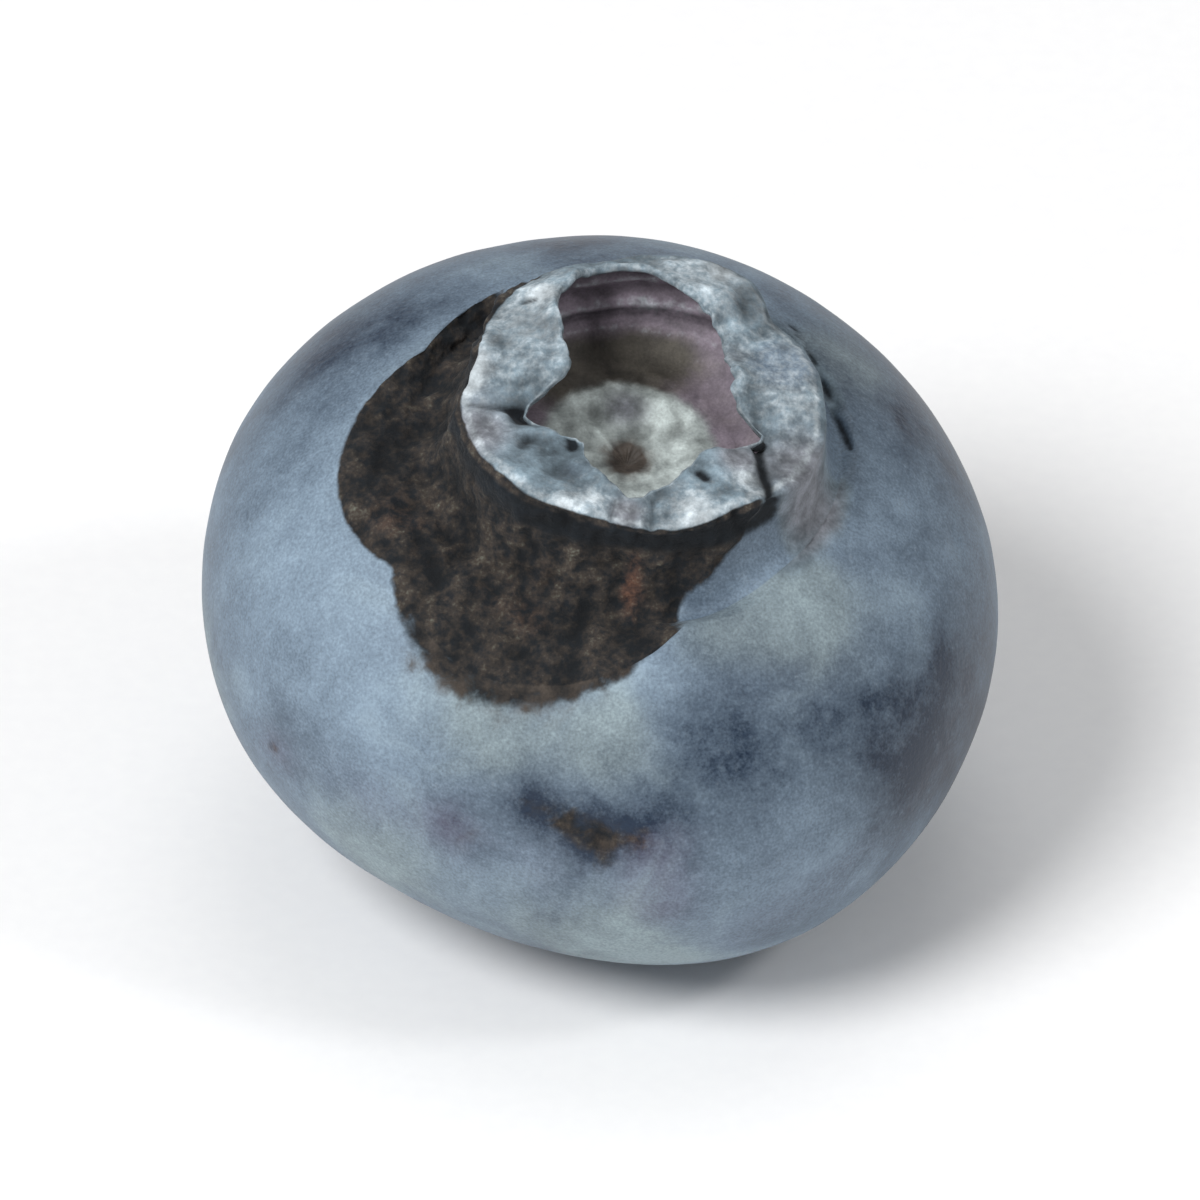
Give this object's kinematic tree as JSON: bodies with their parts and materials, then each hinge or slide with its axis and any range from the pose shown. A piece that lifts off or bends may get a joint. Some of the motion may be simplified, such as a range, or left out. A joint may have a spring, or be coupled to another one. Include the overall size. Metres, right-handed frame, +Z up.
{
  "type": "blueberry",
  "caption": "Ripe blueberry: a plump, slightly flattened fruit whose lobed crown folds in over a small bowl, resting on its stem end.",
  "frame": {"origin": "on the surface the berry rests on, under the middle of its bounding box", "axes": "+Z up; the crown leans about 14 degrees from +Z towards -Y and a little towards +X; the camera side of the picture is -Y"},
  "size_m": [0.0166, 0.0168, 0.0136],
  "materials": {
    "skin": "waxy pale bloom over dark blue skin, brown at the crown"
  },
  "bodies": {
    "root": {"blueberry": "skin"}
  },
  "joints": []
}
